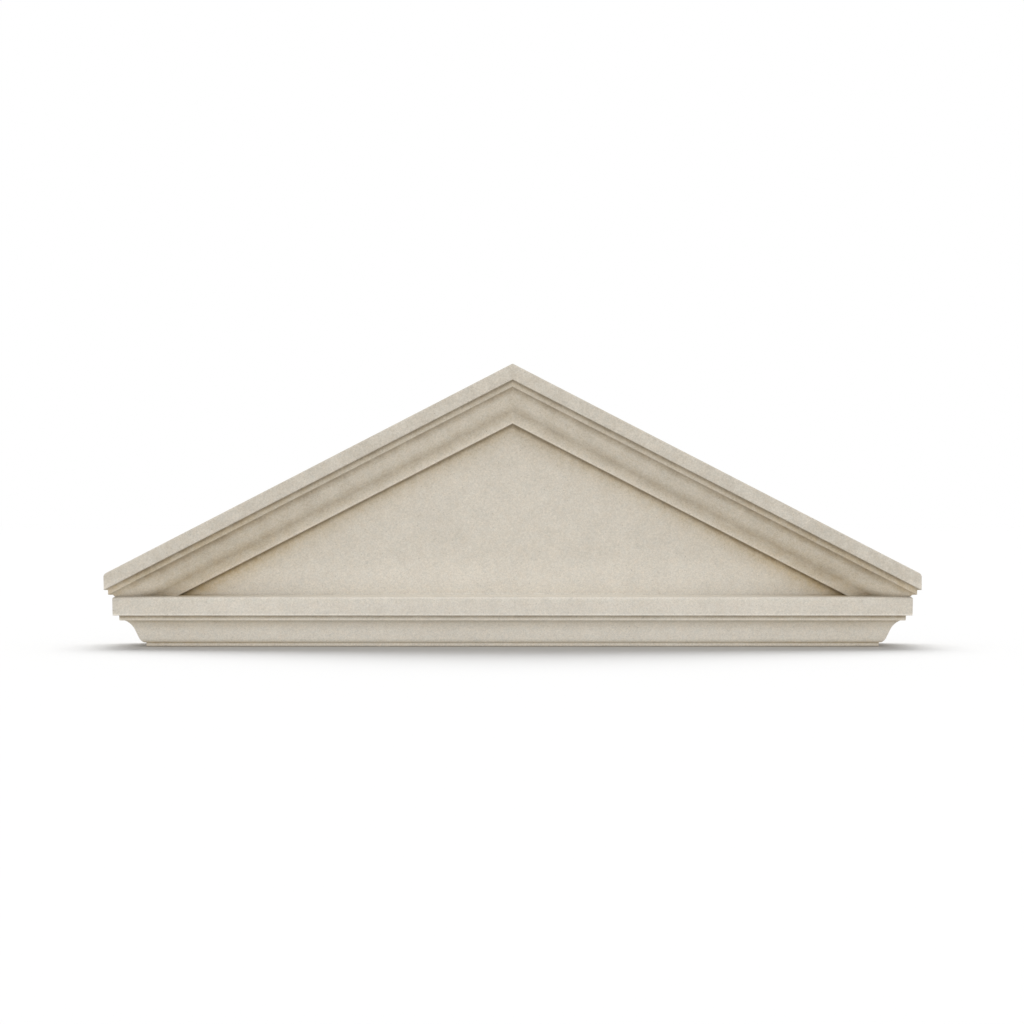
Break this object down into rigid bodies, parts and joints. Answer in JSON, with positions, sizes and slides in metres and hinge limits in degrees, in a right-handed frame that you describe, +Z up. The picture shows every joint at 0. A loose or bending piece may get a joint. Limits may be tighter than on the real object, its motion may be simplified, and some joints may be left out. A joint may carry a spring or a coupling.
{
  "type": "pediment section",
  "caption": "Triangular cast stone pediment for a door surround: moulded level cornice with returns, raking cornices meeting at an apex, and a plain recessed tympanum.",
  "frame": {"origin": "middle of the bounding box at the level of the flat bed that the casting stands on", "axes": "+X along the level cornice, to the right seen from the front; +Y towards the wall behind; +Z up"},
  "size_m": [1.65, 0.2258, 0.5746],
  "materials": {
    "cast_stone": "fine sanded matt"
  },
  "bodies": {
    "root": {"pediment": "cast_stone"}
  },
  "joints": []
}
